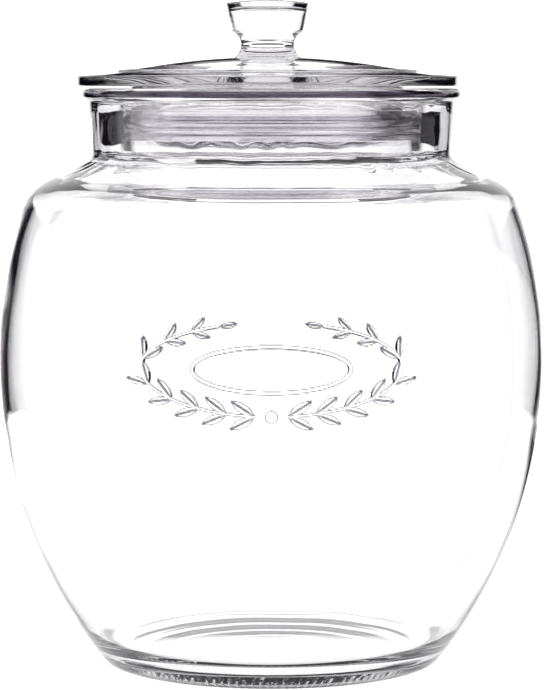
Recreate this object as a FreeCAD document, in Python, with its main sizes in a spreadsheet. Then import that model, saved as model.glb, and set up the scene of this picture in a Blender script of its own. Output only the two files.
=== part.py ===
"""Barrel-shaped glass storage jar with a push-in glass lid.

Three pieces: the jar, moulded in one piece with its thick neck, bearing ring and raised
ornament; the lid, pressed in one piece with its knob and hollow plug; and the ribbed silicone
seal between the plug and the neck. The pieces only rest in one another.

Millimetres, +Z up, origin at the middle of the base on the surface that the jar stands on.
The front, with the ornament, faces -Y.
"""
import FreeCAD, Part
import math
import os

import Sketcher
from FreeCAD import Vector

SIZES = {
    # jar, outside
    "body_radius": (97.6, "largest outer radius, at the belly"),
    "belly_height": (109.3, "height of the largest radius"),
    "lower_curve": (177.4, "profile radius from the belly down to the heel"),
    "upper_curve": (173.1, "profile radius from the belly up to the shoulder"),
    "heel_round": (5.5, "rounding where the side turns under to the bearing ring"),
    "bearing_inner": (51.0, "inner radius of the bearing ring"),
    "bearing_round": (1.5, "rounding on the inner edge of the bearing ring"),
    "push_up": (2.6, "height of the underside's dome over the bearing ring"),
    "shoulder_corner": (86.6, "radius where the side and the shoulder cone would meet"),
    "shoulder_round": (16.2, "rounding of that corner"),
    "neck_foot_radius": (64.0, "outer radius at the foot of the neck"),
    "neck_foot_height": (181.0, "height of the foot of the neck"),
    "foot_round": (3.0, "hollow rounding between the shoulder and the neck"),
    "neck_top_radius": (65.3, "outer radius of the neck under the lip"),
    "neck_top_height": (201.5, "height where the neck runs into the lip"),
    "lip_radius": (67.6, "outer radius of the lip"),
    "lip_low": (202.9, "height of the lip's lower edge"),
    "lip_top": (206.0, "height of the lip's top face"),
    "lip_round": (1.1, "rounding of the lip's outer edges"),
    # jar, inside
    "wall": (3.0, "glass thickness at the belly"),
    "lower_inside_curve": (171.0, "inside profile radius below the belly, so the heel is thicker"),
    "floor_height": (7.0, "height of the inside floor"),
    "inside_heel_round": (14.0, "rounding between the floor and the side, inside"),
    "inside_shoulder": (84.4, "radius where the inner side and shoulder would meet"),
    "inside_shoulder_round": (12.0, "rounding of that corner"),
    "bore_radius": (53.5, "radius of the neck's bore"),
    "bore_foot": (182.0, "height where the bore opens into the shoulder"),
    "bore_foot_round": (4.0, "rounding of the bore's lower edge"),
    "mouth_round": (1.5, "rounding of the bore's upper edge"),
    # raised ornament on the front
    "ornament_height": (114.0, "height of the ornament's middle"),
    "relief": (0.8, "how far the ornament stands out of the glass"),
    "relief_root": (1.2, "how deep its roots run into the wall"),
    "relief_reach": (27.0, "half height of the zone that holds the ornament"),
    "wreath_half_width": (43.0, "half width of the wreath's stem line"),
    "wreath_half_height": (15.5, "half height of the wreath's stem line"),
    "stem_width": (1.1, "width of the stem"),
    "leaf_length": (10.0, "length of the longest leaf"),
    "leaf_width": (3.6, "width of the longest leaf"),
    "label_half_width": (26.0, "half width of the blank oval label"),
    "label_half_height": (7.6, "half height of the blank oval label"),
    "label_rim": (1.5, "width of the label's rim"),
    "bud_radius": (2.3, "radius of the bud at the bottom of the wreath"),
    # lid
    "lid_shift": (1.4, "how far the lid sits off the jar's axis, to -X"),
    "flange_radius": (67.9, "outer radius of the lid"),
    "flange_low": (206.8, "height of the lid's under face"),
    "flange_edge": (210.3, "height of the rim's upper edge"),
    "flange_round": (1.0, "rounding of the rim's edges"),
    "step_radius": (53.4, "radius of the small step round the dome"),
    "step_low": (211.8, "height of the foot of that step"),
    "step_high": (212.4, "height of the top of that step"),
    "dome_radius": (42.4, "radius where the cone meets the dome"),
    "dome_edge": (213.7, "height where the cone meets the dome"),
    "dome_top": (217.1, "height that the dome would reach on its axis"),
    "waist_radius": (9.45, "smallest radius of the knob"),
    "waist_curve": (5.3, "profile radius of the knob's waist"),
    "knob_low_radius": (12.7, "radius of the knob over its waist"),
    "knob_low": (226.2, "height of the knob over its waist"),
    "knob_low_round": (1.3, "rounding of the knob over its waist"),
    "knob_radius": (14.7, "largest radius of the knob"),
    "knob_edge": (236.3, "height of the knob's upper edge"),
    "knob_round": (1.1, "rounding of the knob's upper edge"),
    "knob_top": (237.3, "height of the knob's crown"),
    "collar_radius": (48.5, "radius of the plug over the seal"),
    "plug_radius": (46.5, "radius of the plug inside the seal"),
    "plug_low": (189.8, "height of the plug's lower end"),
    "plug_inside": (41.5, "radius of the hollow inside the plug"),
    "ceiling_edge": (207.6, "height of the hollow's edge"),
    "ceiling_top": (211.2, "height of the hollow on the axis"),
    "ceiling_round": (4.0, "rounding at the hollow's edge"),
    # seal
    "seal_top": (199.0, "height of the seal's upper face, under the plug's collar"),
    "seal_low": (188.4, "height of the seal's lower face"),
    "seal_back": (52.3, "outer radius of the seal between its ribs"),
    "toe_radius": (44.0, "inner radius of the toe that holds the seal on the plug"),
    "upper_rib_high": (198.5, "upper edge of the broad rib"),
    "upper_rib_low": (193.2, "lower edge of the broad rib"),
    "lower_rib_high": (192.0, "upper edge of the narrow rib"),
    "lower_rib_low": (188.9, "lower edge of the narrow rib"),
}

LEAF_PAIRS = 8  # on each branch
BRANCH_START, BRANCH_END = -83.0, 66.0  # degrees round the wreath's ellipse, from +X
FINE_STEPS = 400  # for parting a branch into equal lengths
LEAF_SPLAY = 30.0  # degrees between a leaf and its stem
TIP_LEAF_SHARE = 0.7  # length of the last leaf beside the longest one
MOUTH_CLEARANCE = 1.0  # how far the cavity's tool stands over the lip

document = FreeCAD.newDocument("storage_jar")
sheet = document.addObject("Spreadsheet::Sheet", "Sizes")
for row, (alias, (value, meaning)) in enumerate(SIZES.items(), start=1):
    sheet.set("A%d" % row, meaning)
    sheet.set("B%d" % row, str(value))
    sheet.setAlias("B%d" % row, alias)
document.recompute()


class Size:
    """A length with its value and the sheet expression that drives it."""

    def __init__(self, value, text):
        self.value = float(value)
        self.text = text

    @staticmethod
    def of(number):
        return number if isinstance(number, Size) else Size(number, "%g" % number)

    def __add__(self, other):
        other = Size.of(other)
        return Size(self.value + other.value, "(%s + %s)" % (self.text, other.text))

    def __sub__(self, other):
        other = Size.of(other)
        return Size(self.value - other.value, "(%s - %s)" % (self.text, other.text))

    def __mul__(self, other):
        other = Size.of(other)
        return Size(self.value * other.value, "(%s * %s)" % (self.text, other.text))

    def __truediv__(self, other):
        other = Size.of(other)
        return Size(self.value / other.value, "(%s / %s)" % (self.text, other.text))


def size(alias):
    return Size(sheet.get(alias), "Sizes." + alias)


def arc_radius(half_width, rise):
    """Radius of the arc that rises this far over a chord of twice the half width."""
    return (half_width * half_width + rise * rise) / (rise * 2)


# ---------------------------------------------------------------- drawing helpers


def plain(number):
    """The value of a Size, or a plain number as it is."""
    return number.value if isinstance(number, Size) else float(number)


def drive(sketch, kind, index, place, length):
    """Hold one coordinate of a point to a Size. A plain number is only a first guess."""
    if not isinstance(length, Size):
        return
    row = sketch.addConstraint(Sketcher.Constraint(kind, -1, 1, index, place, length.value))
    sketch.setExpression("Constraints[%d]" % row, length.text)


def pin(sketch, index, place, across, up):
    """Hold a point: a Size drives a coordinate, None keeps the point on that axis."""
    if across is None:
        sketch.addConstraint(Sketcher.Constraint("PointOnObject", index, place, -2))
    if up is None:
        sketch.addConstraint(Sketcher.Constraint("PointOnObject", index, place, -1))
    drive(sketch, "DistanceX", index, place, across)
    drive(sketch, "DistanceY", index, place, up)


def point(across, up):
    """Where a corner starts out in its sketch."""
    return Vector(plain(across or 0), plain(up or 0), 0)


def add_side(sketch, start, end, curve):
    """Draw a line, or an arc of curve = (radius, centre across, centre up). Gives its ends."""
    if curve is None:
        return sketch.addGeometry(Part.LineSegment(start, end)), 1, 2
    radius, across, up = curve
    centre = point(across, up)
    angles = [math.atan2(p.y - centre.y, p.x - centre.x) for p in (start, end)]
    turns_left = (start - centre).cross(end - centre).z > 0
    if not turns_left:
        angles.reverse()
    circle = Part.Circle(centre, Vector(0, 0, 1), plain(radius))
    index = sketch.addGeometry(Part.ArcOfCircle(circle, *angles))
    if isinstance(radius, Size):
        row = sketch.addConstraint(Sketcher.Constraint("Radius", index, radius.value))
        sketch.setExpression("Constraints[%d]" % row, radius.text)
    pin(sketch, index, 3, across, up)
    return (index, 1, 2) if turns_left else (index, 2, 1)


def outline(body, name, corners, curves):
    """A closed outline in the XZ plane. curves gives the arc that leaves a corner, by name."""
    sketch = body.newObject("Sketcher::SketchObject", name)
    plane = [f for f in body.Origin.OriginFeatures if f.Role == "XZ_Plane"]
    sketch.AttachmentSupport = (plane[0], [""])
    sketch.MapMode = "FlatFace"
    names = list(corners)
    sides = []
    for corner, following in zip(names, names[1:] + names[:1]):
        start, end = point(*corners[corner]), point(*corners[following])
        sides.append(add_side(sketch, start, end, curves.get(corner)))
    for side, following in zip(sides, sides[1:] + sides[:1]):
        joined = Sketcher.Constraint("Coincident", side[0], side[2], following[0], following[1])
        sketch.addConstraint(joined)
    for corner, side in zip(names, sides):
        pin(sketch, side[0], side[1], *corners[corner])
    document.recompute()
    if sketch.solve() != 0 or not sketch.FullyConstrained:
        raise RuntimeError("%s isn't a fully driven outline" % name)
    return sketch


def turned(body, kind, sketch):
    """Turn an outline round the vertical axis, as PartDesign::Revolution or Groove."""
    feature = body.newObject(kind, sketch.Name + "_turned")
    feature.Profile = sketch
    feature.ReferenceAxis = (sketch, ["V_Axis"])
    feature.Angle = 360
    sketch.Visibility = False
    document.recompute()
    return feature


def round_ring(body, name, radius, height, rounding):
    """Fillet the ring-shaped edge nearest to this radius and height."""
    before = body.Tip
    rings = [
        (abs(e.Curve.Radius - plain(radius)) + abs(e.Curve.Center.z - plain(height)), number)
        for number, e in enumerate(before.Shape.Edges, start=1)
        if not e.Degenerated and isinstance(e.Curve, Part.Circle)
    ]
    fillet = body.newObject("PartDesign::Fillet", name)
    fillet.Base = (before, ["Edge%d" % min(rings)[1]])
    fillet.Radius = rounding.value
    fillet.setExpression("Radius", rounding.text)
    document.recompute()


def new_body(name, label):
    body = document.addObject("PartDesign::Body", name)
    body.Label = label
    return body


# ---------------------------------------------------------------- jar: outside of the glass

belly = size("belly_height")
body_radius = size("body_radius")


def side_centre(curve):
    """First guess of where an arc that is upright at the belly has its centre."""
    return body_radius.value - curve.value


def side_radius(curve, height):
    """Outer radius of such an arc at a height."""
    return side_centre(curve) + math.sqrt(curve.value**2 - (height - belly.value) ** 2)


def side_height(curve, radius):
    """Height over the belly at which such an arc has a radius."""
    return belly.value + math.sqrt(curve.value**2 - (radius - side_centre(curve)) ** 2)


lower, upper = size("lower_curve"), size("upper_curve")
shoulder_corner = size("shoulder_corner")
heel = side_radius(lower, 0)
shoulder_height = side_height(upper, shoulder_corner.value)
bearing_inner, push_up = size("bearing_inner"), size("push_up")
underside_curve = arc_radius(bearing_inner, push_up).value

glass = new_body("JarGlass", "jar_glass")
outside = outline(
    glass,
    "jar_outside",
    {
        "underside": (None, push_up),
        "bearing": (bearing_inner, None),
        "heel": (heel, None),
        "belly": (body_radius, belly),
        "shoulder": (shoulder_corner, shoulder_height),
        "neck_foot": (size("neck_foot_radius"), size("neck_foot_height")),
        "neck_top": (size("neck_top_radius"), size("neck_top_height")),
        "lip_low": (size("lip_radius"), size("lip_low")),
        "lip_top": (size("lip_radius"), size("lip_top")),
        "middle": (None, size("lip_top")),
    },
    {
        "underside": (underside_curve, None, push_up.value - underside_curve),
        "heel": (lower, side_centre(lower), belly),
        "belly": (upper, side_centre(upper), belly),
    },
)
turned(glass, "PartDesign::Revolution", outside)

# ---------------------------------------------------------------- jar: the hollow inside

wall = size("wall")
inner_belly = body_radius - wall
inner_lower = size("lower_inside_curve")
inner_upper = upper - wall
floor_height = size("floor_height")
inside_shoulder = size("inside_shoulder")
inner_lower_centre = inner_belly.value - inner_lower.value
inner_upper_centre = inner_belly.value - inner_upper.value
floor_edge = inner_lower_centre + math.sqrt(
    inner_lower.value**2 - (belly.value - floor_height.value) ** 2
)
inside_shoulder_height = belly.value + math.sqrt(
    inner_upper.value**2 - (inside_shoulder.value - inner_upper_centre) ** 2
)
mouth = size("lip_top") + MOUTH_CLEARANCE

inside = outline(
    glass,
    "jar_inside",
    {
        "floor": (None, floor_height),
        "floor_edge": (floor_edge, floor_height),
        "belly": (inner_belly, belly),
        "shoulder": (inside_shoulder, inside_shoulder_height),
        "bore_foot": (size("bore_radius"), size("bore_foot")),
        "mouth": (size("bore_radius"), mouth),
        "middle": (None, mouth),
    },
    {
        "floor_edge": (inner_lower, inner_lower_centre, belly),
        "belly": (inner_upper, inner_upper_centre, belly),
    },
)
turned(glass, "PartDesign::Groove", inside)

round_ring(glass, "heel_round", heel, 0, size("heel_round"))
round_ring(glass, "bearing_round", bearing_inner, 0, size("bearing_round"))
round_ring(
    glass, "shoulder_round", shoulder_corner, shoulder_height, size("shoulder_round")
)
round_ring(
    glass, "foot_round", size("neck_foot_radius"), size("neck_foot_height"), size("foot_round")
)
round_ring(glass, "lip_low_round", size("lip_radius"), size("lip_low"), size("lip_round"))
round_ring(glass, "lip_top_round", size("lip_radius"), size("lip_top"), size("lip_round"))
round_ring(glass, "mouth_round", size("bore_radius"), size("lip_top"), size("mouth_round"))
round_ring(
    glass, "bore_foot_round", size("bore_radius"), size("bore_foot"), size("bore_foot_round")
)
round_ring(
    glass,
    "inside_shoulder_round",
    inside_shoulder,
    inside_shoulder_height,
    size("inside_shoulder_round"),
)
round_ring(
    glass, "inside_heel_round", floor_edge, floor_height, size("inside_heel_round")
)

# ---------------------------------------------------------------- jar: the raised ornament
# A thin skin just over the outer surface bounds the relief, so it follows the barrel.

relief, root, reach = size("relief"), size("relief_root"), size("relief_reach")
skin_out, skin_in = body_radius + relief, body_radius - root


def skin_point(curve, offset, height):
    """A corner of the skin: its height is driven, and its radius lies on its arc."""
    guess = side_centre(curve) + math.sqrt(
        (curve.value + offset) ** 2 - (height.value - belly.value) ** 2
    )
    return guess, height


zone_low = size("ornament_height") - reach
zone_high = size("ornament_height") + reach
skin = new_body("OrnamentSkin", "ornament_skin")
skin_outline = outline(
    skin,
    "ornament_zone",
    {
        "outer_low": skin_point(lower, relief.value, zone_low),
        "outer_belly": (skin_out, belly),
        "outer_high": skin_point(upper, relief.value, zone_high),
        "inner_high": skin_point(upper, -root.value, zone_high),
        "inner_belly": (skin_in, belly),
        "inner_low": skin_point(lower, -root.value, zone_low),
    },
    {
        "outer_low": (lower + relief, side_centre(lower), belly),
        "outer_belly": (upper + relief, side_centre(upper), belly),
        "inner_high": (upper - root, side_centre(upper), belly),
        "inner_belly": (lower - root, side_centre(lower), belly),
    },
)
turned(skin, "PartDesign::Revolution", skin_outline)


ornament_middle = Vector(0, 0, size("ornament_height").value)


def prism(*edges):
    """Push a flat closed outline, drawn in the XZ plane, out through the front."""
    reach_out = Vector(0, -(body_radius.value + 2 * relief.value), 0)
    return Part.Face(Part.Wire(edges)).extrude(reach_out)


def oval(half_width, half_height):
    """An upright ellipse about the ornament's middle, its angles counted from +X up."""
    across, upward = Vector(half_width, 0, 0), Vector(0, 0, half_height)
    return Part.Ellipse(ornament_middle + across, ornament_middle + upward, ornament_middle)


def leaf(base, direction, length):
    """A pointed leaf between two arcs, as a prism."""
    width = size("leaf_width").value * length / size("leaf_length").value
    tip = base + direction * length
    across = direction.cross(Vector(0, 1, 0)) * (width / 2)
    middle = (base + tip) / 2
    near = Part.Arc(base, middle + across, tip).toShape()
    far = Part.Arc(tip, middle - across, base).toShape()
    return prism(near, far)


def stem():
    """The right-hand branch's stem, a narrow band along the wreath's ellipse."""
    half_width, half_height = size("wreath_half_width").value, size("wreath_half_height").value
    half_band = size("stem_width").value / 2
    angles = math.radians(BRANCH_START), math.radians(BRANCH_END)
    outer = Part.ArcOfEllipse(oval(half_width + half_band, half_height + half_band), *angles)
    inner = Part.ArcOfEllipse(oval(half_width - half_band, half_height - half_band), *angles)
    start = Part.makeLine(inner.StartPoint, outer.StartPoint)
    end = Part.makeLine(outer.EndPoint, inner.EndPoint)
    return prism(start, outer.toShape(), end, inner.toShape())


def on_stem(degrees):
    """A point of the wreath's ellipse, and the direction the stem grows in there."""
    half_width, half_height = size("wreath_half_width").value, size("wreath_half_height").value
    turn = math.radians(degrees)
    spot = Vector(half_width * math.cos(turn), 0, half_height * math.sin(turn))
    growth = Vector(-half_width * math.sin(turn), 0, half_height * math.cos(turn))
    return ornament_middle + spot, growth.normalize()


def even_stations(count):
    """Angles that part the branch into stretches of equal length."""
    fine = [BRANCH_START + (BRANCH_END - BRANCH_START) * i / FINE_STEPS for i in range(FINE_STEPS)]
    spots = [on_stem(degrees)[0] for degrees in fine]
    run = [0.0]
    for here, following in zip(spots, spots[1:]):
        run.append(run[-1] + here.distanceToPoint(following))
    goals = [run[-1] * i / count for i in range(count + 1)]
    return [min(zip(run, fine), key=lambda pair: abs(pair[0] - goal))[1] for goal in goals]


def branch():
    """The right-hand branch: pairs of leaves along its stem, and one leaf at the tip."""
    pieces = [stem()]
    for number, degrees in enumerate(even_stations(LEAF_PAIRS)):
        spot, growth = on_stem(degrees)
        share = 1 - (1 - TIP_LEAF_SHARE) * number / LEAF_PAIRS
        length = size("leaf_length").value * share
        for splay in (0,) if number == LEAF_PAIRS else (-LEAF_SPLAY, LEAF_SPLAY):
            turn = FreeCAD.Rotation(Vector(0, 1, 0), splay)
            pieces.append(leaf(spot, turn.multVec(growth), length))
    return pieces


def label_rim():
    """The raised rim round a blank oval label."""
    half_width, half_height = size("label_half_width").value, size("label_half_height").value
    half_band = size("label_rim").value / 2
    outer = prism(oval(half_width + half_band, half_height + half_band).toShape())
    inner = prism(oval(half_width - half_band, half_height - half_band).toShape())
    return outer.cut(inner)


def bud():
    """The round bud that closes the wreath at the bottom."""
    middle = ornament_middle - Vector(0, 0, size("wreath_half_height").value)
    return prism(Part.Circle(middle, Vector(0, 1, 0), size("bud_radius").value).toShape())


right_branch = branch()
left_branch = [piece.mirror(Vector(0, 0, 0), Vector(1, 0, 0)) for piece in right_branch]
prisms = [bud(), label_rim()] + right_branch + left_branch
pattern = document.addObject("Part::Feature", "OrnamentPattern")
pattern.Label = "ornament_pattern"
pattern.Shape = prisms[0].multiFuse(prisms[1:])

ornament = document.addObject("Part::Common", "Ornament")
ornament.Label = "ornament"
ornament.Base = pattern
ornament.Tool = skin

jar = document.addObject("Part::Fuse", "Jar")
jar.Label = "jar"
jar.Base = glass
jar.Tool = ornament
jar.Refine = True
document.recompute()

# ---------------------------------------------------------------- lid

lid = new_body("Lid", "lid")
dome_top, dome_edge, dome_radius = size("dome_top"), size("dome_edge"), size("dome_radius")
dome_curve = arc_radius(dome_radius, dome_top - dome_edge)
crown_curve = arc_radius(size("knob_radius"), size("knob_top") - size("knob_edge")).value
ceiling_curve = arc_radius(
    size("plug_inside"), size("ceiling_top") - size("ceiling_edge")
).value
waist_curve = size("waist_curve")
waist_centre = size("waist_radius") + waist_curve
knob_low_radius, knob_low = size("knob_low_radius"), size("knob_low")


def waist_drop(radius):
    """How far from the waist's middle its hollow arc has widened to a radius."""
    return math.sqrt(waist_curve.value**2 - (waist_centre.value - radius) ** 2)


waist_height = knob_low.value - waist_drop(knob_low_radius.value)
foot_height = dome_top.value - size("waist_radius").value ** 2 / (2 * dome_curve.value)
foot_radius = waist_centre.value - math.sqrt(
    waist_curve.value**2 - (waist_height - foot_height) ** 2
)
lid_outline = outline(
    lid,
    "lid_outline",
    {
        "crown": (None, size("knob_top")),
        "ceiling": (None, size("ceiling_top")),
        "ceiling_edge": (size("plug_inside"), size("ceiling_edge")),
        "plug_inner_low": (size("plug_inside"), size("plug_low")),
        "plug_outer_low": (size("plug_radius"), size("plug_low")),
        "ledge_inner": (size("plug_radius"), size("seal_top")),
        "ledge_outer": (size("collar_radius"), size("seal_top")),
        "collar_top": (size("collar_radius"), size("flange_low")),
        "flange_low": (size("flange_radius"), size("flange_low")),
        "flange_edge": (size("flange_radius"), size("flange_edge")),
        "step_low": (size("step_radius"), size("step_low")),
        "step_high": (size("step_radius"), size("step_high")),
        "dome_edge": (dome_radius, dome_edge),
        "knob_foot": (foot_radius, foot_height),
        "knob_low": (knob_low_radius, knob_low),
        "knob_edge": (size("knob_radius"), size("knob_edge")),
    },
    {
        "ceiling": (ceiling_curve, None, size("ceiling_top").value - ceiling_curve),
        "dome_edge": (dome_curve.value, None, dome_top - dome_curve),
        "knob_foot": (waist_curve, waist_centre, waist_height),
        "knob_edge": (crown_curve, None, size("knob_top").value - crown_curve),
    },
)
turned(lid, "PartDesign::Revolution", lid_outline)
round_ring(lid, "rim_low_round", size("flange_radius"), size("flange_low"), size("flange_round"))
round_ring(lid, "rim_top_round", size("flange_radius"), size("flange_edge"), size("flange_round"))
round_ring(lid, "knob_top_round", size("knob_radius"), size("knob_edge"), size("knob_round"))
round_ring(lid, "knob_low_round", knob_low_radius, knob_low, size("knob_low_round"))
round_ring(lid, "ceiling_round", size("plug_inside"), size("ceiling_edge"), size("ceiling_round"))
lid.setExpression("Placement.Base.x", "-Sizes.lid_shift")
document.recompute()

# ---------------------------------------------------------------- seal
# Its ribs press on the bore, centred on the jar. Its seat is centred on the lid, so the
# silicone is squeezed thinner on the side that the lid sits towards.

seal_ring = new_body("SealRing", "seal_ring")
seal_back, bore = size("seal_back"), size("bore_radius")


def rib(name):
    """Arc of a rib, from its lower edge over its crest on the bore to its upper edge."""
    high, low = size(name + "_high"), size(name + "_low")
    radius = arc_radius((high - low) / 2, bore - seal_back)
    return radius, bore.value - radius.value, (high.value + low.value) / 2


seal_outline = outline(
    seal_ring,
    "seal_outline",
    {
        "low_middle": (None, size("seal_low")),
        "low_edge": (seal_back, size("seal_low")),
        "lower_rib_low": (seal_back, size("lower_rib_low")),
        "lower_rib_high": (seal_back, size("lower_rib_high")),
        "upper_rib_low": (seal_back, size("upper_rib_low")),
        "upper_rib_high": (seal_back, size("upper_rib_high")),
        "top_edge": (seal_back, size("seal_top")),
        "top_middle": (None, size("seal_top")),
    },
    {"lower_rib_low": rib("lower_rib"), "upper_rib_low": rib("upper_rib")},
)
turned(seal_ring, "PartDesign::Revolution", seal_outline)


def lid_sized_core(name, radius, low, high):
    """A cylinder about the lid's axis that is cut out of the seal."""
    core = document.addObject("Part::Cylinder", name)
    core.setExpression("Radius", radius.text)
    core.setExpression("Height", (high - low).text)
    core.setExpression("Placement.Base.x", "-Sizes.lid_shift")
    core.setExpression("Placement.Base.z", low.text)
    return core


seat = document.addObject("Part::Cut", "SeatedSeal")
seat.Label = "seal_with_seat"
seat.Base = seal_ring
seat.Tool = lid_sized_core("Seat", size("plug_radius"), size("plug_low"), size("seal_top"))

seal = document.addObject("Part::Cut", "Seal")
seal.Label = "seal"
seal.Base = seat
seal.Tool = lid_sized_core("ToeHole", size("toe_radius"), size("seal_low"), size("plug_low"))
document.recompute()

# ---------------------------------------------------------------- checks and files

for item in document.Objects:
    if "Invalid" in item.State or "Error" in item.State:
        raise RuntimeError("%s failed: %s" % (item.Name, item.State))

os.makedirs("parts", exist_ok=True)
for node in (jar, lid, seal):
    shape = node.Shape
    if shape.isNull() or not shape.isValid() or len(shape.Solids) != 1:
        raise RuntimeError("%s isn't one sound solid" % node.Label)
    shape.exportStep("parts/%s.step" % node.Label)
    box = shape.BoundBox
    print("%s: %.1f cm3, z %.2f to %.2f" % (node.Label, shape.Volume / 1000, box.ZMin, box.ZMax))
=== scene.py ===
import math

import bpy
import numpy as np
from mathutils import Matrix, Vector, noise


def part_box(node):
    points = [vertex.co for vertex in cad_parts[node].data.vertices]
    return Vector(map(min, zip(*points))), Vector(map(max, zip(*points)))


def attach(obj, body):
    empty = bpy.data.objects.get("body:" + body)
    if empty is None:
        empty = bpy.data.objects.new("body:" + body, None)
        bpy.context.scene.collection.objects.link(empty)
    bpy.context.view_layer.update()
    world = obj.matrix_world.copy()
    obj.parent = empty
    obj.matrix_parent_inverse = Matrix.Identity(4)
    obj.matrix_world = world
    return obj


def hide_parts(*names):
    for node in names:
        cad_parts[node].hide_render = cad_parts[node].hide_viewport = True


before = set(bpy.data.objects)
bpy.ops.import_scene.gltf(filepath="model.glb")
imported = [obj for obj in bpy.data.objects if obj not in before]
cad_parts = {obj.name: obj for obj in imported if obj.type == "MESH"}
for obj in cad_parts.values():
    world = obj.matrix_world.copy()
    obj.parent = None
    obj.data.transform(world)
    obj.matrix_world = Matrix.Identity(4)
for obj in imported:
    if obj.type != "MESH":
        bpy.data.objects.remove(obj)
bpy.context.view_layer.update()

# ------------------------------------------------------------------ jar
# The jar is one piece of clear soda-lime glass, blown into a two-part mould. Its barrel wall
# is about 3 mm thick, its neck over 10 mm, and its heel turns under to a beaded ring on which
# it stands. The outline is turned on a lathe, and the mould's ornament is raised on its front.

MM = 0.001
jar_low, jar_high = [Vector(corner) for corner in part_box("jar")]
BODY_RADIUS = jar_high.x
BASE = jar_low.z
LIP_TOP = jar_high.z
BELLY = 109.3 * MM
LOWER_CURVE, UPPER_CURVE = 177.4 * MM, 173.1 * MM
HEEL_ROUND = 5.5 * MM
BEARING_INNER, BEARING_ROUND, PUSH_UP = 51.0 * MM, 1.5 * MM, 2.6 * MM
SHOULDER_CORNER, SHOULDER_ROUND = 86.6 * MM, 16.2 * MM
NECK_FOOT = Vector((64.0 * MM, 181.0 * MM))
NECK_TOP = Vector((65.3 * MM, LIP_TOP - 4.5 * MM))
FOOT_ROUND = 3.0 * MM
LIP_RADIUS, LIP_DEPTH, LIP_ROUND, LIP_TOP_ROUND = 67.6 * MM, 3.1 * MM, 0.9 * MM, 2.0 * MM
WALL = 3.0 * MM
LOWER_INSIDE_CURVE = 171.0 * MM
FLOOR, INSIDE_HEEL_ROUND = 7.0 * MM, 14.0 * MM
INSIDE_SHOULDER, INSIDE_SHOULDER_ROUND = 84.4 * MM, 12.0 * MM
BORE, BORE_FOOT, BORE_FOOT_ROUND = 53.5 * MM, 182.0 * MM, 4.0 * MM
MOUTH_ROUND = 3.0 * MM
JAR_SEGMENTS, JAR_STEP = 192, 4.0 * MM


class Straight:
    """A straight stretch of a turned outline, from one corner to the next."""

    def __init__(self, start, end):
        self.start, self.along = Vector(start), (Vector(end) - Vector(start)).normalized()
        self.left = Vector((-self.along.y, self.along.x))

    def offset(self, spot):
        """How far a spot lies to the left of it, and the direction in which that grows."""
        return (spot - self.start).dot(self.left), self.left

    def foot(self, spot):
        return self.start + self.along * (spot - self.start).dot(self.along)

    def walk(self, start, end, step):
        count = max(1, round((end - start).length / step))
        return [start.lerp(end, i / count) for i in range(count + 1)]


class Curved:
    """A round stretch of a turned outline. bend is 1 where it turns left, -1 right."""

    def __init__(self, centre, radius, bend):
        self.centre, self.radius, self.bend = Vector(centre), radius, bend

    def offset(self, spot):
        out = spot - self.centre
        return self.bend * (self.radius - out.length), -self.bend * out.normalized()

    def foot(self, spot):
        return self.centre + (spot - self.centre).normalized() * self.radius

    def walk(self, start, end, step):
        from_start, from_end = start - self.centre, end - self.centre
        first = math.atan2(from_start.y, from_start.x)
        sweep = math.atan2(from_end.y, from_end.x) - first
        sweep = (sweep * self.bend) % math.tau * self.bend
        count = max(2, round(abs(sweep) * self.radius / step))
        turns = [first + sweep * i / count for i in range(count + 1)]
        return [self.centre + self.radius * Vector((math.cos(a), math.sin(a))) for a in turns]


ROUNDING_STEPS = 30
ARC_STEP_SHARE, SHORTEST_STEP, WELD = 0.25, 0.2 * MM, 0.01 * MM


def rounding(before, after, corner, radius):
    """The arc of a radius that rounds the corner between two stretches of an outline.

    Its centre starts on the corner and is moved until it is a radius away from both.
    """
    direction_in = -before.offset(corner)[1].orthogonal()
    bend = 1 if direction_in.cross(-after.offset(corner)[1].orthogonal()) > 0 else -1
    spot = corner.copy()
    for _ in range(ROUNDING_STEPS):
        (a, grow_a), (b, grow_b) = before.offset(spot), after.offset(spot)
        miss = Vector((bend * radius - a, bend * radius - b))
        area = grow_a.cross(grow_b)
        spot += Vector(
            (
                (miss.x * grow_b.y - miss.y * grow_a.y) / area,
                (miss.y * grow_a.x - miss.x * grow_b.x) / area,
            )
        )
    return Curved(spot, radius, bend)


def outline(corners, step):
    """Stations of a turned outline. Each corner is (place, rounding, the stretch after it)."""
    runs = []
    stretches = [
        c[2] or Straight(c[0], following[0]) for c, following in zip(corners, corners[1:])
    ]
    starts = [Vector(corners[0][0])]
    for i, (place, radius, _) in enumerate(corners[1:-1], start=1):
        if radius:
            arc = rounding(stretches[i - 1], stretches[i], Vector(place), radius)
            begin, finish = stretches[i - 1].foot(arc.centre), stretches[i].foot(arc.centre)
            runs.append((starts[-1], begin, stretches[i - 1], step))
            runs.append((begin, finish, arc, max(radius * ARC_STEP_SHARE, SHORTEST_STEP)))
            starts.append(finish)
        else:
            runs.append((starts[-1], Vector(place), stretches[i - 1], step))
            starts.append(Vector(place))
    runs.append((starts[-1], Vector(corners[-1][0]), stretches[-1], step))
    stations = [Vector(corners[0][0])]
    for start, end, stretch, spacing in runs:
        stations += stretch.walk(start, end, spacing)[1:]
    return stations


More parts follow.
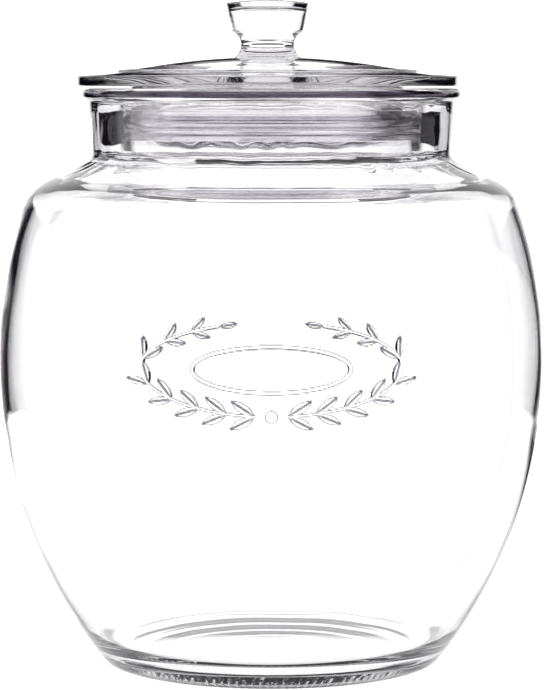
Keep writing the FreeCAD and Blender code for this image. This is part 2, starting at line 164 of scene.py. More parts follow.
def turn_on_lathe(name, stations, segments, axis_x=0.0, closed=False):
    """A body of revolution about an upright axis: the outline is extruded, then spun."""
    bpy.ops.object.select_all(action="DESELECT")
    first = stations[0]
    bpy.ops.mesh.primitive_plane_add(size=MM, location=(axis_x + first.x, 0, first.y))
    piece = bpy.context.object
    piece.name = piece.data.name = name
    bpy.ops.object.transform_apply(location=True)
    bpy.ops.object.mode_set(mode="EDIT")
    bpy.ops.mesh.merge(type="CENTER")
    for here, there in zip(stations, stations[1:]):
        move = (there.x - here.x, 0, there.y - here.y)
        bpy.ops.mesh.extrude_vertices_move(TRANSFORM_OT_translate={"value": move})
    bpy.ops.mesh.select_all(action="SELECT")
    if closed:
        bpy.ops.mesh.remove_doubles(threshold=WELD)
    bpy.ops.mesh.spin(steps=segments, angle=math.tau, center=(axis_x, 0, 0), axis=(0, 0, 1))
    bpy.ops.mesh.select_all(action="SELECT")
    bpy.ops.mesh.remove_doubles(threshold=WELD)
    bpy.ops.mesh.normals_make_consistent(inside=False)
    bpy.ops.mesh.select_all(action="DESELECT")
    bpy.ops.object.mode_set(mode="OBJECT")
    bpy.ops.object.shade_smooth()
    return piece


def points_of(piece):
    """The piece's vertices as rows of x, y, z."""
    flat = np.empty(3 * len(piece.data.vertices), np.float32)
    piece.data.vertices.foreach_get("co", flat)
    return flat.reshape(-1, 3).astype(np.float64)


def move_points(piece, points):
    """Put the vertices where they are told, in place."""
    piece.data.vertices.foreach_set("co", points.astype(np.float32).ravel())
    piece.data.update()


def subdivide_where(piece, chosen, cuts):
    """Subdivide the faces whose middle, as (x, y, z), the test chooses."""
    bpy.ops.object.select_all(action="DESELECT")
    piece.select_set(True)
    bpy.context.view_layer.objects.active = piece
    bpy.ops.object.mode_set(mode="EDIT")
    bpy.ops.mesh.select_mode(type="FACE")
    bpy.ops.mesh.select_all(action="DESELECT")
    bpy.ops.object.mode_set(mode="OBJECT")
    for face in piece.data.polygons:
        face.select = chosen(face.center)
    bpy.ops.object.mode_set(mode="EDIT")
    bpy.ops.mesh.subdivide(number_cuts=cuts, smoothness=0)
    bpy.ops.mesh.select_mode(type="VERT")
    bpy.ops.mesh.select_all(action="DESELECT")
    bpy.ops.object.mode_set(mode="OBJECT")


def arc_height(curve, radius, belly_radius):
    """Height at which an arc that is upright at the belly comes to a radius."""
    return math.sqrt(curve**2 - (radius - belly_radius + curve) ** 2)


def arc_radius(curve, height, belly_radius):
    """Radius of such an arc at a height over or under the belly."""
    return belly_radius - curve + np.sqrt(curve**2 - height**2)


def crown_curve(edge_radius, rise):
    """Radius of the arc that rises by this much from its edge to its middle."""
    return (edge_radius**2 + rise**2) / (2 * rise)


inner_belly = BODY_RADIUS - WALL
inner_upper = UPPER_CURVE - WALL
underside = crown_curve(BEARING_INNER, PUSH_UP)
heel = arc_radius(LOWER_CURVE, BELLY - BASE, BODY_RADIUS)
shoulder = BELLY + arc_height(UPPER_CURVE, SHOULDER_CORNER, BODY_RADIUS)
inside_shoulder = BELLY + arc_height(inner_upper, INSIDE_SHOULDER, inner_belly)
floor_edge = arc_radius(LOWER_INSIDE_CURVE, BELLY - FLOOR, inner_belly)
jar_outline = outline(
    [
        ((0, BASE + PUSH_UP), 0, Curved((0, BASE + PUSH_UP - underside), underside, -1)),
        ((BEARING_INNER, BASE), BEARING_ROUND, None),
        ((heel, BASE), HEEL_ROUND, Curved((BODY_RADIUS - LOWER_CURVE, BELLY), LOWER_CURVE, 1)),
        ((BODY_RADIUS, BELLY), 0, Curved((BODY_RADIUS - UPPER_CURVE, BELLY), UPPER_CURVE, 1)),
        ((SHOULDER_CORNER, shoulder), SHOULDER_ROUND, None),
        (NECK_FOOT, FOOT_ROUND, None),
        (NECK_TOP, LIP_ROUND, None),
        ((LIP_RADIUS, LIP_TOP - LIP_DEPTH), LIP_ROUND, None),
        ((LIP_RADIUS, LIP_TOP), LIP_TOP_ROUND, None),
        ((BORE, LIP_TOP), MOUTH_ROUND, None),
        ((BORE, BORE_FOOT), BORE_FOOT_ROUND, None),
        (
            (INSIDE_SHOULDER, inside_shoulder),
            INSIDE_SHOULDER_ROUND,
            Curved((inner_belly - inner_upper, BELLY), inner_upper, -1),
        ),
        (
            (inner_belly, BELLY),
            0,
            Curved((inner_belly - LOWER_INSIDE_CURVE, BELLY), LOWER_INSIDE_CURVE, -1),
        ),
        ((floor_edge, FLOOR), INSIDE_HEEL_ROUND, None),
        ((0, FLOOR), 0, None),
    ],
    step=JAR_STEP,
)
jar = turn_on_lathe("jar_glass", jar_outline, JAR_SEGMENTS)

# The raised ornament comes from the mould: a wreath of leaf pairs round a blank oval label,
# which stands 0.8 mm out of the wall with rounded edges. The steep sides of the ornament and
# the outer face of the lip are marked here for painted shade: a near-black colour that stands
# in for the dark lines that refraction draws on them.

ORNAMENT = 114.0 * MM
RELIEF = 0.78 * MM
WREATH = (43.0 * MM, 15.5 * MM)
STEM_HALF = 0.55 * MM
LEAF_LENGTH, LEAF_WIDTH = 10.0 * MM, 3.6 * MM
LABEL, LABEL_HALF_RIM = (26.0 * MM, 7.6 * MM), 0.75 * MM
BUD = 2.3 * MM
LEAF_PAIRS, BRANCH = 8, (-83.0, 66.0)
LEAF_SPLAY, TIP_LEAF_SHARE = 30.0, 0.7
ZONE = (54.0 * MM, 25.0 * MM)
ZONE_MARGIN, ORNAMENT_CUTS = 1.05, 9
RELIEF_SLOPE, RIM_EASE = 0.55 * MM, 0.15 * MM
VEIN_HALF, VEIN_DEPTH, VEIN_GROWTH = 0.35 * MM, 0.45, 3
# Painted shade: its strength on the relief's slopes and on the lip's outer face, how far up the lip
# it reaches, and how far under the lip's foot.
SLOPE_PAINTED_SHADE, LIP_PAINTED_SHADE, LIP_SHADE_SHARE, LIP_SHADE_MARGIN = 6, 1.0, 0.7, 0.1 * MM


def on_stem(degrees):
    """A point of the wreath's ellipse and the direction in which the stem grows there."""
    a = math.radians(degrees)
    spot = Vector((WREATH[0] * math.cos(a), WREATH[1] * math.sin(a)))
    return spot, Vector((-WREATH[0] * math.sin(a), WREATH[1] * math.cos(a))).normalized()


def even_stations(count):
    """Angles that part the branch into stretches of equal length."""
    fine = np.linspace(*BRANCH, 400)
    spots = np.array([on_stem(degrees)[0] for degrees in fine])
    run = np.append(0, np.cumsum(np.linalg.norm(np.diff(spots, axis=0), axis=1)))
    return np.interp(np.linspace(0, run[-1], count + 1), run, fine)


def raised(distance):
    """How much of the full relief stands at a distance inside a motif's edge."""
    share = np.clip(distance / RELIEF_SLOPE, 0, 1)
    return share * share * (3 - 2 * share)


def leaf_relief(x, z, base, direction, length):
    """A leaf between two arcs, full in the middle, with a shallow groove for its vein."""
    half_width = LEAF_WIDTH / 2 * length / LEAF_LENGTH
    curve = crown_curve(length / 2, half_width)
    along = (x - base.x) * direction.x + (z - base.y) * direction.y
    across = np.abs((z - base.y) * direction.x - (x - base.x) * direction.y)
    to_edge = curve - np.hypot(along - length / 2, across + curve - half_width)
    vein = np.exp(-((across / VEIN_HALF) ** 2)) * np.clip(along / length * VEIN_GROWTH, 0, 1)
    return raised(to_edge) * (1 - VEIN_DEPTH * vein)


def ellipse_band(x, z, half_sizes, half_band):
    """A band along an ellipse."""
    value = np.hypot(x / half_sizes[0], z / half_sizes[1])
    slope = np.hypot(x / half_sizes[0] ** 2, z / half_sizes[1] ** 2) / np.maximum(value, 1e-6)
    distance = np.abs(value - 1) / np.maximum(slope, 1e-6)
    return raised(half_band + RIM_EASE - distance)


def ornament_relief(x, z):
    """The relief's share at (x, z) from its middle; the left half mirrors the right."""
    x = np.abs(x)
    share = ellipse_band(x, z, LABEL, LABEL_HALF_RIM)
    share = np.maximum(share, raised(BUD - np.hypot(x, z + WREATH[1])))
    angle = np.degrees(np.arctan2(z / WREATH[1], x / WREATH[0]))
    on_branch = (angle > BRANCH[0]) & (angle < BRANCH[1])
    share = np.maximum(share, ellipse_band(x, z, WREATH, STEM_HALF) * on_branch)
    for number, degrees in enumerate(even_stations(LEAF_PAIRS)):
        spot, growth = on_stem(degrees)
        length = LEAF_LENGTH * (1 - (1 - TIP_LEAF_SHARE) * number / LEAF_PAIRS)
        for splay in (0,) if number == LEAF_PAIRS else (-LEAF_SPLAY, LEAF_SPLAY):
            a = math.radians(splay)
            direction = Vector(
                (
                    growth.x * math.cos(a) - growth.y * math.sin(a),
                    growth.x * math.sin(a) + growth.y * math.cos(a),
                )
            )
            share = np.maximum(share, leaf_relief(x, z, spot, direction, length))
    return share


def outside_radius(height):
    """Outer radius of the barrel at a height, between the heel and the shoulder."""
    over = height - BELLY
    curve = np.where(over > 0, UPPER_CURVE, LOWER_CURVE)
    return BODY_RADIUS - curve + np.sqrt(curve**2 - over**2)


def in_ornament_zone(spot):
    """True on the front of the barrel's outer skin, where the ornament is."""
    outer = math.hypot(spot[0], spot[1]) > outside_radius(spot[2]) - WALL / 3
    return outer and spot[1] < 0 and abs(spot[0]) < ZONE[0] and abs(spot[2] - ORNAMENT) < ZONE[1]


subdivide_where(jar, in_ornament_zone, ORNAMENT_CUTS)
points = points_of(jar)
radius = np.hypot(points[:, 0], points[:, 1])
reach = outside_radius(np.clip(points[:, 2], BASE + HEEL_ROUND, BELLY + SHOULDER_ROUND * 2))
near_front = (
    (radius > reach - WALL / 3)
    & (points[:, 1] < 0)
    & (np.abs(points[:, 0]) < ZONE[0] * ZONE_MARGIN)
    & (np.abs(points[:, 2] - ORNAMENT) < ZONE[1] * ZONE_MARGIN)
)
x, z = points[near_front, 0], points[near_front, 2]
share = ornament_relief(x, z - ORNAMENT)
grown = reach[near_front] + RELIEF * share
points[near_front, :2] *= (grown / radius[near_front])[:, None]
move_points(jar, points)
# Painted shade: the relief's slopes, where it is neither flat nor full, are darkened in place of
# the lines that refraction draws there.
painted_shade = np.zeros(len(points), np.float32)
painted_shade[near_front] = np.minimum(1, SLOPE_PAINTED_SHADE * share * (1 - share))
# Painted shade: the outer face of the lip is painted dark in place of the black band that
# refraction draws across it.
over_foot = points[:, 2] - (LIP_TOP - LIP_DEPTH)
on_lip = (
    (radius > LIP_RADIUS - LIP_ROUND)
    & (over_foot > -LIP_SHADE_MARGIN)
    & (over_foot < LIP_DEPTH * LIP_SHADE_SHARE)
)
painted_shade[on_lip] = LIP_PAINTED_SHADE
# The painted shade is kept on the jar as a point attribute for its material.
relief_edge = jar.data.attributes.new("relief_edge", "FLOAT", "POINT")
relief_edge.data.foreach_set("value", painted_shade)

# Blown glass is never even: the barrel is thinner on one side, its inner wall waves, most of
# all where the thick neck opens into the shoulder, and the neck's bore ripples. The ring that
# the jar stands on is knurled with small beads.

INNER_WAVE, INNER_WAVE_SIZE = 0.10 * MM, 22.0 * MM
THIN_SIDE = 0.9 * MM
NECK_RIPPLE, NECK_RIPPLE_SIZE = 0.22 * MM, 6.0 * MM
FOOT_WAVE, FOOT_WAVE_REACH, FOOT_LOBES = 0.8 * MM, 8.0 * MM, 5.0
FOOT_FINER, FOOT_FINE_SHARE = 3.1, 0.5
INSIDE_MARGIN = 2.0 * MM
BEAD, BEAD_ROW, BEAD_COUNT, BEAD_TOP, BEAD_CUTS = 0.12 * MM, 0.9 * MM, 144, 2.6 * MM, 2


def in_beaded_ring(spot):
    """True on the outer turn of the heel, just over the surface that the jar stands on."""
    return spot[2] < BEAD_TOP and math.hypot(spot[0], spot[1]) > heel - HEEL_ROUND


subdivide_where(jar, in_beaded_ring, BEAD_CUTS)
points = points_of(jar)
radius = np.hypot(points[:, 0], points[:, 1])
turn = np.arctan2(points[:, 1], points[:, 0])
reach = outside_radius(np.clip(points[:, 2], BASE, NECK_FOOT.y)) - INSIDE_MARGIN
inside = (points[:, 2] > FLOOR - WALL / 2) & ((radius < BORE + FOOT_ROUND) | (radius < reach))
inside &= (points[:, 2] < NECK_FOOT.y) | (radius < BORE + WALL)
for index in np.flatnonzero(inside & (radius > MM)):
    spot = Vector(points[index])
    near_foot = max(0.0, 1 - abs(spot.z - BORE_FOOT) / FOOT_WAVE_REACH)
    angle = turn[index]
    ring = Vector((math.cos(angle), math.sin(angle), 0)) * FOOT_LOBES
    lift = noise.noise(ring) * FOOT_WAVE
    lift += noise.noise(ring * FOOT_FINER) * FOOT_WAVE * FOOT_FINE_SHARE
    if spot.z < NECK_FOOT.y:
        wave = noise.noise(spot / INNER_WAVE_SIZE) * INNER_WAVE
        wave += THIN_SIDE * (1 + math.cos(angle)) / 2 * math.sin(math.pi * spot.z / NECK_FOOT.y)
    else:
        wave = abs(noise.noise(spot / NECK_RIPPLE_SIZE)) * NECK_RIPPLE
    points[index, :2] *= 1 + wave / radius[index]
    points[index, 2] += lift * near_foot**2
beaded = (radius > heel - HEEL_ROUND) & (points[:, 2] < BEAD_TOP)
rounds = np.cos(turn * BEAD_COUNT) * np.cos(points[:, 2] / BEAD_ROW * math.pi)
hollow = BEAD * (1 - np.clip(rounds, 0, 1)) * np.clip((BEAD_TOP - points[:, 2]) / MM, 0, 1) * beaded
points[:, :2] *= (1 - hollow / np.maximum(radius, MM))[:, None]
points[:, 2] += hollow / 2
move_points(jar, points)

# Its glass is clear and colourless, and swallows a little light on long ways through it, so
# it is dark where it is seen edge-on. A breath of haze and slow waves lie on its skin.

GLASS_INDEX, GLASS_DEPTH, GLASS_SHADE = 1.5, 7.0, (0.22, 0.20, 0.24, 1.0)
SURFACE_TINTS = ((0.985, 0.980, 0.990), (1.0, 1.0, 1.0))
HAZE_FINER, HAZE_ROUGHNESS, SKIN_ROUGHNESS = 6, 0.012, 0.10
# Painted shade: the near-black colour laid on the relief's slopes and the lip's outer face.
RELIEF_PAINTED_SHADE = (0.045, 0.038, 0.055)
BLOWN_WAVE, BLOWN_WAVE_SIZE = 0.05 * MM, 26 * MM


class Value:
    """A socket of a node tree that takes part in plain arithmetic."""

    def __init__(self, finish, socket):
        self.finish, self.socket = finish, socket

    def math(self, operation, *others):
        return self.finish.add(
            "ShaderNodeMath", {"operation": operation}, dict(enumerate((self, *others)))
        )

    def __add__(self, other):
        return self.math("ADD", other)

    def __sub__(self, other):
        return self.math("SUBTRACT", other)

    def __rsub__(self, other):
        return self.finish.add("ShaderNodeMath", {"operation": "SUBTRACT"}, {0: other, 1: self})

    def __mul__(self, other):
        return self.math("MULTIPLY", other)

    __radd__ = __add__
    __rmul__ = __mul__


class Finish:
    """The node tree of one finish, or of the light round the jar."""

    def __init__(self, owner):
        owner.use_nodes = True
        self.tree = owner.node_tree
        self.tree.nodes.clear()

    def add(self, kind, settings=None, sockets=None, output=0):
        """Add a node, set it up, feed its sockets with values or links, and give an output."""
        node = self.tree.nodes.new(kind)
        for name, value in (settings or {}).items():
            if name == "stops":
                elements = node.color_ramp.elements
                while len(elements) < len(value):
                    elements.new(1.0)
                for element, (position, color) in zip(elements, value):
                    element.position, element.color = position, (*color, 1.0)
            else:
                setattr(node, name, value)
        for name, value in (sockets or {}).items():
            if isinstance(value, Value):
                self.tree.links.new(value.socket, node.inputs[name])
            else:
                node.inputs[name].default_value = value
        return Value(self, node.outputs[output]) if len(node.outputs) else node

    def coordinates(self, kind="Object"):
        return self.add("ShaderNodeTexCoord", output=kind)

    def noise(self, where, size, detail):
        """Noise whose largest features are about this many metres across."""
        sockets = {"Vector": where, "Scale": 1 / size, "Detail": detail, "Roughness": 0.5}
        return self.add("ShaderNodeTexNoise", None, sockets, "Fac")

    def tint(self, factor, first, second):
        """A colour between two, by a factor."""
        first = first if isinstance(first, Value) else (*first, 1.0)
        colors = {0: factor, 6: first, 7: (*second, 1.0)}
        return self.add("ShaderNodeMix", {"data_type": "RGBA"}, colors, 2)

    def bump(self, height, distance):
        sockets = {"Height": height, "Distance": distance, "Strength": 1.0}
        return self.add("ShaderNodeBump", None, sockets, "Normal")

    def surface(self, shader, kind="ShaderNodeOutputMaterial"):
        self.output = self.add(kind, None, {"Surface": shader})


def clear_glass(name, wave, wave_size, shade_attribute=None):
    """Colourless soda-lime glass. Where the attribute is 1, it has painted shade and a duller skin.
    """
    material = bpy.data.materials.new(name)
    glass = Finish(material)
    where = glass.coordinates()
    slow = glass.noise(where, wave_size, detail=1.0)
    haze = glass.noise(where, wave_size / HAZE_FINER, detail=3.0)
    color = glass.tint(slow, *SURFACE_TINTS)
    roughness = haze * HAZE_ROUGHNESS
    if shade_attribute:
        # Painted shade: where the attribute is 1 the base colour turns near-black, in place of
        # refraction's dark lines, and the skin is rougher.
        edge = glass.add("ShaderNodeAttribute", {"attribute_name": shade_attribute}, None, "Fac")
        color = glass.tint(edge, color, RELIEF_PAINTED_SHADE)
        roughness = roughness + edge * SKIN_ROUGHNESS
    sockets = {
        "Base Color": color,
        "Roughness": roughness,
        "IOR": GLASS_INDEX,
        "Transmission Weight": 1.0,
        "Normal": glass.bump(slow, wave),
    }
    glass.surface(glass.add("ShaderNodeBsdfPrincipled", None, sockets))
    depth = {"Color": GLASS_SHADE, "Density": GLASS_DEPTH}
    absorbed = glass.add("ShaderNodeVolumeAbsorption", None, depth)
    glass.tree.links.new(absorbed.socket, glass.output.inputs["Volume"])
    return material


# The jar's glass carries the painted shade of its relief and lip.
blown = clear_glass("blown_clear_glass", BLOWN_WAVE, BLOWN_WAVE_SIZE, "relief_edge")
jar.data.materials.append(blown)
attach(jar, "root")
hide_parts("jar")

# ------------------------------------------------------------------ seal
# A translucent silicone ring with a broad and a narrow rib that press on the bore. It sits
# round the plug, whose foot it holds with a thin toe, so its seat follows the lid sideways.

seal_low, seal_high = [Vector(corner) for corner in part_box("seal")]
lid_low, lid_high = [Vector(corner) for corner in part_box("lid")]
LID_AXIS = (lid_low.x + lid_high.x) / 2
CONTACT = 0.10 * MM
SEAL_BACK = 52.3 * MM
PLUG_RADIUS, TOE_RADIUS, TOE_TOP = 46.5 * MM, 44.0 * MM, 189.8 * MM
RIBS = ((188.9 * MM, 192.0 * MM), (193.2 * MM, 198.5 * MM))
SEAL_EDGE_ROUND, TOE_EDGE_ROUND = 0.4 * MM, 0.3 * MM
SEAL_SEGMENTS, SEAL_STEP = 192, 0.6 * MM
SILICONE_TINTS = ((0.90, 0.87, 0.93), (0.98, 0.97, 0.99))
SILICONE_INDEX, SILICONE_CLEAR = 1.41, 0.97
CLOUD_SIZE, GRAIN_SIZE, GRAIN_BUMP = 6 * MM, 0.6 * MM, 0.02 * MM
SATIN, SATIN_CHANGE = 0.06, 0.08


def rib(low, high, proud):
    """The round back of a rib between two heights."""
    half = (high - low) / 2
    curve = crown_curve(half, proud)
    return Curved((SEAL_BACK + proud - curve, (low + high) / 2), curve, 1)


proud = BORE - CONTACT - SEAL_BACK
seal_top = seal_high.z - CONTACT
seat = PLUG_RADIUS + CONTACT
(first_low, first_high), (second_low, second_high) = RIBS
seal_outline = outline(
    [
        ((TOE_RADIUS, seal_low.z), 0, None),
        ((SEAL_BACK, seal_low.z), 0, None),
        ((SEAL_BACK, first_low), 0, rib(first_low, first_high, proud)),
        ((SEAL_BACK, first_high), 0, None),
        ((SEAL_BACK, second_low), 0, rib(second_low, second_high, proud)),
        ((SEAL_BACK, second_high), 0, None),
        ((SEAL_BACK, seal_top), SEAL_EDGE_ROUND, None),
        ((seat, seal_top), SEAL_EDGE_ROUND, None),
        ((seat, TOE_TOP - CONTACT), 0, None),
        ((TOE_RADIUS, TOE_TOP - CONTACT), TOE_EDGE_ROUND, None),
        ((TOE_RADIUS, seal_low.z), 0, None),
    ],
    step=SEAL_STEP,
)
seal = turn_on_lathe("seal_ring", seal_outline, SEAL_SEGMENTS, closed=True)
points = points_of(seal)
radius = np.hypot(points[:, 0], points[:, 1])
points[:, 0] += LID_AXIS * np.clip((SEAL_BACK - radius) / (SEAL_BACK - seat), 0, 1)
move_points(seal, points)


def translucent_silicone(name):
    """Milky silicone with a satin skin and the faint cloudiness of a moulded ring."""
    material = bpy.data.materials.new(name)
    skin = Finish(material)
    where = skin.coordinates()
    cloud = skin.noise(where, CLOUD_SIZE, detail=3.0)
    grain = skin.noise(where, GRAIN_SIZE, detail=2.0)
    sockets = {
        "Base Color": skin.tint(cloud, *SILICONE_TINTS),
        "Roughness": SATIN + cloud * SATIN_CHANGE,
        "IOR": SILICONE_INDEX,
        "Transmission Weight": SILICONE_CLEAR,
        "Normal": skin.bump(grain, GRAIN_BUMP),
    }
    skin.surface(skin.add("ShaderNodeBsdfPrincipled", None, sockets))
    return material


seal.data.materials.append(translucent_silicone("translucent_silicone"))
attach(seal, "root")
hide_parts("seal")

# ------------------------------------------------------------------ lid
# The lid is one piece of pressed clear glass: a broad flange with a shallow dome, a waisted
# knob on top, and a hollow plug below that is pushed into the neck with its seal.

FLANGE, FLANGE_LOW, FLANGE_EDGE = lid_high.x - LID_AXIS, 206.8 * MM, 210.3 * MM
FLANGE_ROUND = 0.6 * MM
STEP, STEP_LOW, STEP_HIGH = 53.4 * MM, 211.8 * MM, 212.4 * MM
DOME, DOME_EDGE, DOME_TOP = 42.4 * MM, 213.7 * MM, 217.1 * MM
WAIST, WAIST_CURVE = 9.45 * MM, 5.3 * MM
KNOB_LOW, KNOB_LOW_ROUND = Vector((12.7 * MM, 226.2 * MM)), 1.3 * MM
KNOB, KNOB_EDGE, KNOB_ROUND = 14.7 * MM, lid_high.z - 1.0 * MM, 0.5 * MM
COLLAR, COLLAR_ROUND, FLANGE_FOOT_ROUND, STEP_ROUND = 48.5 * MM, 0.5 * MM, 1.5 * MM, 0.2 * MM
PLUG_INSIDE, CEILING_EDGE, CEILING, CEILING_ROUND = 41.5 * MM, 207.6 * MM, 211.2 * MM, 4.0 * MM
PLUG_INNER_ROUND, PLUG_OUTER_ROUND, PLUG_SEAT_ROUND = 1.0 * MM, 0.6 * MM, 0.3 * MM
LID_SEGMENTS, LID_STEP = 192, 2.0 * MM
PRESSED_WAVE, PRESSED_WAVE_SIZE = 0.03 * MM, 14 * MM

dome_curve = crown_curve(DOME, DOME_TOP - DOME_EDGE)
knob_curve = crown_curve(KNOB, lid_high.z - KNOB_EDGE)
ceiling_curve = crown_curve(PLUG_INSIDE, CEILING - CEILING_EDGE)
waist_centre = WAIST + WAIST_CURVE
waist_height = KNOB_LOW.y - math.sqrt(WAIST_CURVE**2 - (waist_centre - KNOB_LOW.x) ** 2)
foot_height = DOME_TOP - WAIST**2 / (2 * dome_curve)
foot_radius = waist_centre - math.sqrt(WAIST_CURVE**2 - (waist_height - foot_height) ** 2)
lid_outline = outline(
    [
        ((0, CEILING), 0, Curved((0, CEILING - ceiling_curve), ceiling_curve, -1)),
        ((PLUG_INSIDE, CEILING_EDGE), CEILING_ROUND, None),
        ((PLUG_INSIDE, lid_low.z), PLUG_INNER_ROUND, None),
        ((PLUG_RADIUS, lid_low.z), PLUG_OUTER_ROUND, None),
        ((PLUG_RADIUS, seal_high.z), PLUG_SEAT_ROUND, None),
        ((COLLAR, seal_high.z), COLLAR_ROUND, None),
        ((COLLAR, FLANGE_LOW), FLANGE_FOOT_ROUND, None),
        ((FLANGE, FLANGE_LOW), FLANGE_ROUND, None),
        ((FLANGE, FLANGE_EDGE), FLANGE_ROUND, None),
        ((STEP, STEP_LOW), STEP_ROUND, None),
        ((STEP, STEP_HIGH), STEP_ROUND, None),
        ((DOME, DOME_EDGE), 0, Curved((0, DOME_TOP - dome_curve), dome_curve, 1)),
        ((foot_radius, foot_height), 0, Curved((waist_centre, waist_height), WAIST_CURVE, -1)),
        (KNOB_LOW, KNOB_LOW_ROUND, None),
        ((KNOB, KNOB_EDGE), KNOB_ROUND, Curved((0, lid_high.z - knob_curve), knob_curve, 1)),
        ((0, lid_high.z), 0, None),
    ],
    step=LID_STEP,
)
lid = turn_on_lathe("lid_glass", lid_outline, LID_SEGMENTS, LID_AXIS)
lid.data.materials.append(clear_glass("pressed_clear_glass", PRESSED_WAVE, PRESSED_WAVE_SIZE))
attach(lid, "root")
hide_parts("lid")

# ------------------------------------------------------------------ studio
# The jar stands on a floor of pale, grainy paper that is lit from below, so that it glows and
# the floor and the light round it run into one another with no horizon.

FLOOR_RADIUS, FLOOR_SEGMENTS, FLOOR_GLOW = 8.0, 96, 0.85
PAPER_TINTS, PAPER_GRAIN = ((0.48, 0.48, 0.49), (0.50, 0.50, 0.50)), 0.4

bpy.ops.object.select_all(action="DESELECT")
bpy.ops.mesh.primitive_circle_add(
    vertices=FLOOR_SEGMENTS, radius=FLOOR_RADIUS, fill_type="NGON"
)
floor = bpy.context.object
floor.name = floor.data.name = "studio_floor"
floor_material = bpy.data.materials.new("pale_floor")
pale = Finish(floor_material)
grain = pale.noise(pale.coordinates(), PAPER_GRAIN, detail=2.0)
paper = pale.add("ShaderNodeBsdfDiffuse", None, {"Color": pale.tint(grain, *PAPER_TINTS)})
glow = pale.add("ShaderNodeEmission", None, {"Color": (1, 1, 1, 1), "Strength": FLOOR_GLOW})
pale.surface(pale.add("ShaderNodeAddShader", None, {0: paper, 1: glow}))
floor.data.materials.append(floor_material)

# Black velvet lies on the floor in a ring round the jar and rises as a round wall. The thin
# edges of the glass bend the rays into it, which draws them dark. It is cut open along lanes,
# each a strip that runs from the jar across the floor and the wall, as far as its heights go.

COVE_INSIDE, COVE_RADIUS, COVE_HEIGHT, COVE_OVER_FLOOR = 0.16, 0.50, 0.90, 0.25 * MM
COVE_SEGMENTS = 128
LANES = (
    # Direction in degrees from +Y towards +X, reach to the left and to the right of it, how
    # much each side spreads for a metre of way, and the heights between which it is open.
    (0, 0.05, 0.05, 0.44, -1.0, 2.0),
    (0, 0.26, 0.27, 0.0, 0.004, 2.0),
    (0, 0.45, 0.45, 0.0, 0.25, 2.0),
    (-45, 0.14, 0.12, 0.0, -1.0, 0.02),
    (45, 0.08, 0.14, 0.0, -1.0, 0.02),
    (135, 0.17, 0.17, 0.0, -1.0, 0.10),
    (-90, 0.17, 0.17, 0.0, -1.0, 2.0),
)
LANE_FADE, LEVEL_STEEPNESS = 0.05, 10
VELVET_EDGE, VELVET_BLACK = (0.40, 0.36, 0.43), (0.012, 0.010, 0.015)

bpy.ops.object.select_all(action="DESELECT")
bpy.ops.mesh.primitive_circle_add(
    vertices=COVE_SEGMENTS, radius=COVE_INSIDE, location=(0, 0, COVE_OVER_FLOOR)
)
cove = bpy.context.object
cove.name = cove.data.name = "black_cove"
bpy.ops.object.transform_apply(location=True)
bpy.ops.object.mode_set(mode="EDIT")
for widening, rise in ((COVE_RADIUS / COVE_INSIDE, 0), (1, COVE_HEIGHT)):
    bpy.ops.mesh.extrude_edges_move(TRANSFORM_OT_translate={"value": (0, 0, rise)})
    bpy.ops.transform.resize(value=(widening, widening, 1))
bpy.ops.object.mode_set(mode="OBJECT")


def black_cove(name):
    """Black velvet that fades to grey and then to nothing at the edges of the lanes."""
    material = bpy.data.materials.new(name)
    velvet = Finish(material)
    east = velvet.add("ShaderNodeSeparateXYZ", None, {0: velvet.coordinates()}, "X")
    north = Value(velvet, east.socket.node.outputs["Y"])
    height = Value(velvet, east.socket.node.outputs["Z"])
    seen = 0.0
    for degrees, left, right, spread, low, high in LANES:
        sine, cosine = math.sin(math.radians(degrees)), math.cos(math.radians(degrees))
        ahead = east * sine + north * cosine
        aside = east * cosine - north * sine
        edge = (aside + left).math("MINIMUM", right - aside) + ahead * spread
        level = (high - height).math("MINIMUM", height - low) * LEVEL_STEEPNESS
        inside = edge.math("MINIMUM", ahead).math("MINIMUM", level) * (1 / LANE_FADE)
        seen = inside.math("MAXIMUM", seen)
    cover = (1 - seen).math("MAXIMUM", 0.0).math("MINIMUM", 1.0)
    black = velvet.tint(cover * cover, VELVET_EDGE, VELVET_BLACK)
    cloth = velvet.add("ShaderNodeEmission", None, {"Color": black, "Strength": 1.0})
    air = velvet.add("ShaderNodeBsdfTransparent")
    velvet.surface(velvet.add("ShaderNodeMixShader", None, {0: cover, 1: air, 2: cloth}))
    return material


cove.data.materials.append(black_cove("black_velvet"))
cove.visible_camera = cove.visible_diffuse = cove.visible_shadow = False

# A narrow black card, bent round the jar, hangs behind it from the height of the knob's top
# up, and draws the lower edges of the relief. It and the velvet are seen through glass alone.

CARD_RADIUS, CARD_LOW, CARD_HIGH, CARD_HALF_TURN, CARD_SEGMENTS = 0.30, 0.238, 0.285, 25.0, 24
INK = (0.02, 0.017, 0.023, 1)
start = math.radians(CARD_HALF_TURN)
bpy.ops.object.select_all(action="DESELECT")
bpy.ops.mesh.primitive_plane_add(
    size=MM, location=(-CARD_RADIUS * math.sin(start), CARD_RADIUS * math.cos(start), CARD_LOW)
)
card = bpy.context.object
card.name = card.data.name = "hanging_card"
bpy.ops.object.transform_apply(location=True)
bpy.ops.object.mode_set(mode="EDIT")
bpy.ops.mesh.merge(type="CENTER")
rise = (0, 0, CARD_HIGH - CARD_LOW)
bpy.ops.mesh.extrude_vertices_move(TRANSFORM_OT_translate={"value": rise})
bpy.ops.mesh.select_all(action="SELECT")
bpy.ops.mesh.spin(steps=CARD_SEGMENTS, angle=2 * start, center=(0, 0, 0), axis=(0, 0, 1))
bpy.ops.object.mode_set(mode="OBJECT")
card_material = bpy.data.materials.new("black_card")
ink = Finish(card_material)
ink.surface(ink.add("ShaderNodeEmission", None, {"Color": INK}))
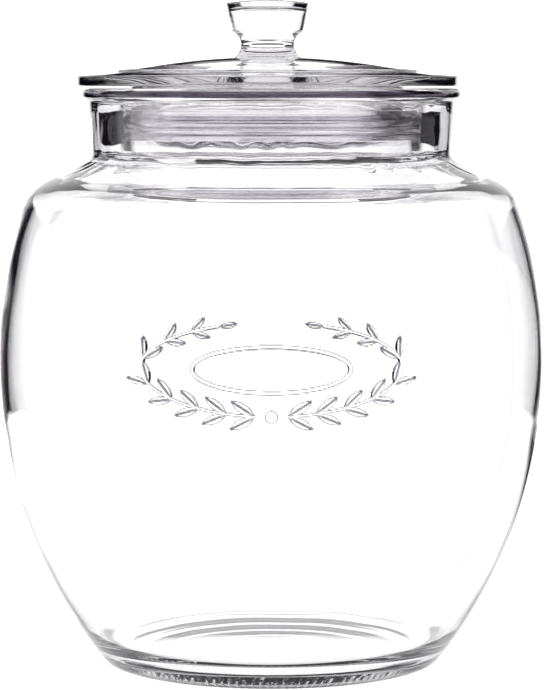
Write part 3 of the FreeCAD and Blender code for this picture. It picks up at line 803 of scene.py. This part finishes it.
card.data.materials.append(card_material)
card.visible_camera = card.visible_diffuse = card.visible_shadow = False

# The light comes evenly from a white tent all round, with a grey-lilac cloth over a small
# part of its top, straight above the jar.

TENT_WHITE, TOP_GREY, TOP_FROM, TOP_FULL = (1.0, 1.0, 1.0), (0.30, 0.27, 0.33), 0.975, 0.985
TENT_STRENGTH = 1.20

world = bpy.data.worlds.new("studio_light")
bpy.context.scene.world = world
tent = Finish(world)
upward = tent.add("ShaderNodeSeparateXYZ", None, {0: tent.coordinates("Generated")}, "Z")
stops = ((0.0, TENT_WHITE), (TOP_FROM, TENT_WHITE), (TOP_FULL, TOP_GREY), (1.0, TOP_GREY))
ramp = tent.add("ShaderNodeValToRGB", {"stops": stops}, {0: upward * 0.5 + 0.5})
tent.surface(
    tent.add("ShaderNodeBackground", None, {"Color": ramp, "Strength": TENT_STRENGTH}),
    "ShaderNodeOutputWorld",
)

# ------------------------------------------------------------------ camera
# A long lens looks at the jar from the front, from the height of the lid's flange and tilted
# down by 5 degrees. Light passes many walls of glass, so its rays are followed a long way.

CAMERA_DISTANCE, CAMERA_HEIGHT, CAMERA_SIDE, CAMERA_TILT = 1.080, 0.2068, 0.00036, 85.085
SENSOR_WIDTH, LENS = 36.0, 157.1
EXPOSURE, GAMMA = 0.15, 0.85
GLASS_TURNS, MIRROR_TURNS = 32, 8

bpy.ops.object.camera_add(
    location=(CAMERA_SIDE, -CAMERA_DISTANCE, CAMERA_HEIGHT),
    rotation=(math.radians(CAMERA_TILT), 0, 0),
)
camera = bpy.context.object
camera.name = "camera"
camera.data.sensor_width = SENSOR_WIDTH
camera.data.lens = LENS
bpy.context.scene.camera = camera
bpy.context.scene.view_settings.view_transform = "Standard"
bpy.context.scene.view_settings.exposure = EXPOSURE
bpy.context.scene.view_settings.gamma = GAMMA
bpy.context.scene.cycles.max_bounces = GLASS_TURNS
bpy.context.scene.cycles.transmission_bounces = GLASS_TURNS
bpy.context.scene.cycles.glossy_bounces = MIRROR_TURNS
